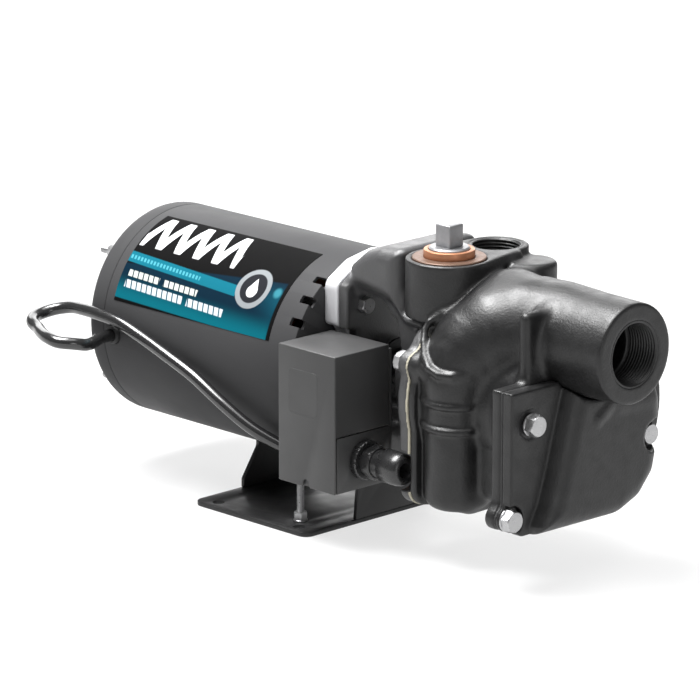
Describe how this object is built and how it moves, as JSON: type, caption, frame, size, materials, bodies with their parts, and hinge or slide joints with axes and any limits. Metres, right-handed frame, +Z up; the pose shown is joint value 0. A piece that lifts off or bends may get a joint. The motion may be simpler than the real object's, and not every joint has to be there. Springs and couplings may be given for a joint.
{
  "type": "shallow well jet pump",
  "caption": "Electric jet pump for a shallow well: motor, bracket, iron casing with a jet inside, pressure switch, threaded suction and discharge ports, steel foot.",
  "frame": {"origin": "on the ground, at the centre of the four holes in the base plate", "axes": "+X along the shaft from the motor to the suction port, -Y the side with the pressure switch, +Z up"},
  "size_m": [0.4562, 0.2039, 0.209],
  "materials": {
    "black_stamped_steel": "satin black paint on stamped steel",
    "shell_paint": "satin charcoal paint on rolled steel",
    "cast_iron_paint": "semi gloss black paint on cast iron",
    "cast_aluminium": "as cast, light grey",
    "zinc_fasteners": "bright zinc plate",
    "ground_steel": "ground",
    "lamination_steel": "stacked sheet, dull",
    "copper_winding": "enamelled copper",
    "bronze": "turned bronze",
    "switch_paint": "satin grey paint on sheet steel",
    "label_foil": "printed foil in black and teal, no lettering",
    "lead_jacket": "glossy black jacket",
    "black_plastic": "moulded, satin",
    "black_rubber": "moulded",
    "ivory_plastic": "glass filled, moulded",
    "gasket_fibre": "compressed fibre sheet",
    "seal_ceramic": "polished ceramic",
    "connector_paint": "black die cast",
    "brass_fitting": "turned brass",
    "plug_steel": "zinc plated, square head"
  },
  "bodies": {
    "pump": {"base_plate": "black_stamped_steel", "rear_riser": "black_stamped_steel", "front_riser": "black_stamped_steel", "base_bolts": "zinc_fasteners", "motor_shell": "shell_paint", "motor_rear_cap": "shell_paint", "motor_end_bell": "cast_aluminium", "motor_through_bolts": "zinc_fasteners", "bell_bolts": "zinc_fasteners", "stator_core": "lamination_steel", "stator_windings": "copper_winding", "front_bearing": "ground_steel", "rear_bearing": "ground_steel", "motor_label": "label_foil", "lead_grommet": "black_rubber", "motor_lead": "lead_jacket", "lead_bushing": "black_rubber", "adapter_bracket": "cast_iron_paint", "casing_gasket": "gasket_fibre", "casing_bolts": "zinc_fasteners", "seal_seat": "seal_ceramic", "diffuser": "ivory_plastic", "diffuser_ring": "black_rubber", "venturi": "ivory_plastic", "nozzle": "brass_fitting", "pump_casing": "cast_iron_paint", "front_cover": "cast_iron_paint", "cover_gasket": "gasket_fibre", "cover_bolts": "zinc_fasteners", "drain_plug": "plug_steel", "priming_bushing": "bronze", "switch_base": "switch_paint", "contact_block": "black_plastic", "diaphragm_housing": "cast_aluminium", "range_spring": "ground_steel", "range_nut": "ground_steel", "terminal_screws": "brass_fitting", "pressure_tube": "bronze", "tube_fittings": "brass_fitting", "cable_connector": "connector_paint", "connector_locknut": "connector_paint", "switch_bracket": "black_stamped_steel", "support_bolt": "zinc_fasteners", "support_nuts": "zinc_fasteners"},
    "rotor": {"rotor_core": "lamination_steel", "motor_shaft": "ground_steel", "cooling_fan": "black_plastic", "water_slinger": "black_rubber", "seal_head": "black_rubber", "impeller": "ivory_plastic"},
    "switch_lever": {"contact_lever": "brass_fitting"},
    "switch_piston": {"switch_plunger": "ground_steel"},
    "cover": {"switch_cover": "switch_paint"},
    "plug": {"priming_plug": "plug_steel"}
  },
  "joints": [
    {"name": "rotor_spin", "type": "hinge", "parent": "pump", "child": "rotor", "pos_m": [0, 0, 0.1], "axis": [1, 0, 0], "continuous": true},
    {"name": "contact_lever_tilt", "type": "hinge", "parent": "pump", "child": "switch_lever", "pos_m": [0.047, -0.0475, 0.086], "axis": [0, -1, 0], "range_deg": [0, 4]},
    {"name": "plunger_lift", "type": "slide", "parent": "pump", "child": "switch_piston", "axis": [0, 0, 1], "range_m": [0, 0.0013]},
    {"name": "switch_cover_off", "type": "slide", "parent": "pump", "child": "cover", "axis": [0, -1, 0], "range_m": [0, 0.06]},
    {"name": "priming_plug_out", "type": "slide", "parent": "pump", "child": "plug", "axis": [0, 0, 1], "range_m": [0, 0.025]}
  ],
  "couplings": [
    {"joint": "plunger_lift", "follows": "contact_lever_tilt", "m_per_rad": 0.018}
  ]
}
